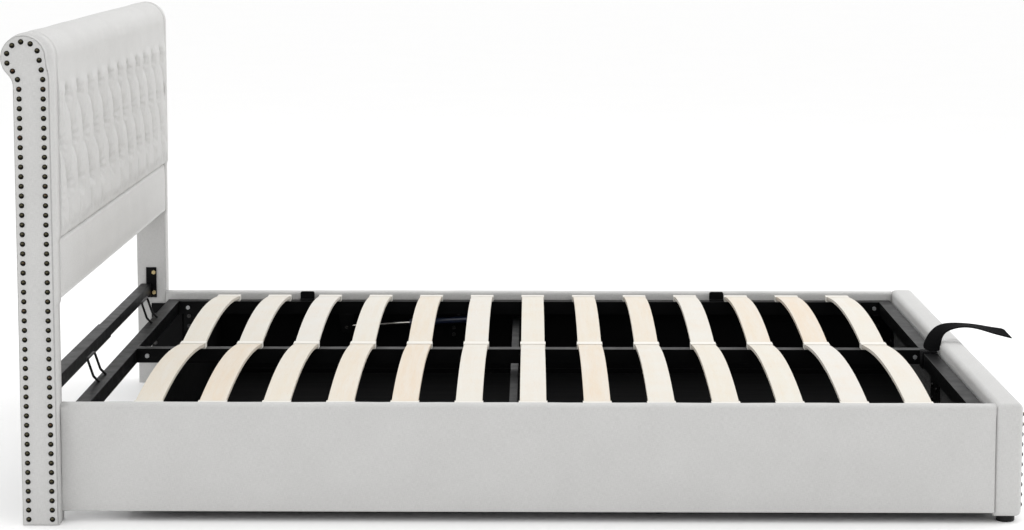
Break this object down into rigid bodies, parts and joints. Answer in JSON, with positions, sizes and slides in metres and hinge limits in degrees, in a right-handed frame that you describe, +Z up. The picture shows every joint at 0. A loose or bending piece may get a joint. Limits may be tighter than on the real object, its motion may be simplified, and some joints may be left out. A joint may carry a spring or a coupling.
{
  "type": "storage bed",
  "caption": "Upholstered bed with a nailed scroll-top tufted headboard, padded rails and a bent-slat frame that tilts up on gas springs over a storage space.",
  "frame": {"origin": "on the floor, under the middle of the whole outline, from scroll to strap tip", "axes": "+X from the headboard to the foot, +Y across to the far side, +Z up"},
  "size_m": [2.357, 1.6972, 1.0839],
  "materials": {
    "white_linen": "woven off-white linen",
    "bronze_nail": "antique bronze",
    "softwood": "planed softwood and plywood",
    "black_board": "black laminated board",
    "black_steel": "black powder coat",
    "zinc_plate": "yellow zinc plate",
    "birch": "sanded birch, bent",
    "white_plastic": "moulded white",
    "black_plastic": "moulded black",
    "black_webbing": "woven webbing",
    "cylinder_paint": "blue-black gloss",
    "polished_rod": "polished"
  },
  "bodies": {
    "base": {"post_cores": "softwood", "post_cover_far": "white_linen", "post_cover_near": "white_linen", "upholstery_nails": "bronze_nail", "headboard_frame": "softwood", "headboard_back_cover": "white_linen", "headboard_roll_core": "softwood", "headboard_tufted_pad": "white_linen", "headboard_lower_pad": "white_linen", "tuft_buttons": "white_linen", "rail_boards": "black_board", "rail_cover_far": "white_linen", "rail_cover_near": "white_linen", "footboard_boards": "softwood", "footboard_cover_far": "white_linen", "footboard_cover_near": "white_linen", "footboard_joint_plate": "black_steel", "feet": "black_plastic", "floor_ledges": "black_steel", "floor_panels": "black_board", "head_end_board": "black_board", "centre_beam": "black_steel", "head_corner_plates": "black_steel", "foot_corner_brackets": "black_steel", "crossbar_sleeve": "black_steel", "crossbar_inner_tube": "black_steel", "crossbar_brackets": "black_steel", "base_bolts": "zinc_plate", "hinge_brackets": "black_steel", "hinge_pins": "zinc_plate", "spring_rail_brackets": "black_steel"},
    "platform": {"frame_head_rail": "black_steel", "frame_foot_rail": "black_steel", "frame_side_far": "black_steel", "frame_side_near": "black_steel", "frame_spine": "black_steel", "slat_caps": "white_plastic", "mattress_loops": "black_steel", "mattress_stops": "black_steel", "pull_strap": "black_webbing", "frame_bolts": "zinc_plate", "hinge_ears": "black_steel", "spring_frame_brackets": "black_steel", "slat_pair_01": "birch", "slat_pair_02": "birch", "slat_pair_03": "birch", "slat_pair_04": "birch", "slat_pair_05": "birch", "slat_pair_06": "birch", "slat_pair_07": "birch", "slat_pair_08": "birch", "slat_pair_09": "birch", "slat_pair_10": "birch", "slat_pair_11": "birch", "slat_pair_12": "birch", "slat_pair_13": "birch"},
    "spring_cylinder_far": {"spring_cylinder_far": "cylinder_paint"},
    "spring_rod_far": {"spring_rod_far": "polished_rod"},
    "spring_cylinder_near": {"spring_cylinder_near": "cylinder_paint"},
    "spring_rod_near": {"spring_rod_near": "polished_rod"}
  },
  "joints": [
    {"name": "lift", "type": "hinge", "parent": "base", "child": "platform", "pos_m": [-0.9545, 0, 0.192], "axis": [0, -1, 0], "range_deg": [0, 40]},
    {"name": "cylinder_turn_far", "type": "hinge", "parent": "base", "child": "spring_cylinder_far", "pos_m": [-0.1695, 0.745, 0.193], "axis": [0, 1, 0], "range_deg": [0, 30.6]},
    {"name": "rod_slide_far", "type": "slide", "parent": "spring_cylinder_far", "child": "spring_rod_far", "axis": [-0.9984, 0, -0.0569], "range_m": [0, 0.138]},
    {"name": "cylinder_turn_near", "type": "hinge", "parent": "base", "child": "spring_cylinder_near", "pos_m": [-0.1695, -0.745, 0.193], "axis": [0, 1, 0], "range_deg": [0, 30.6]},
    {"name": "rod_slide_near", "type": "slide", "parent": "spring_cylinder_near", "child": "spring_rod_near", "axis": [-0.9984, 0, -0.0569], "range_m": [0, 0.138]}
  ],
  "couplings": [
    {"joint": "cylinder_turn_far", "follows": "lift", "ratio": 0.76148},
    {"joint": "rod_slide_far", "follows": "lift", "m_per_rad": 0.19642},
    {"joint": "cylinder_turn_near", "follows": "lift", "ratio": 0.76148},
    {"joint": "rod_slide_near", "follows": "lift", "m_per_rad": 0.19642}
  ]
}
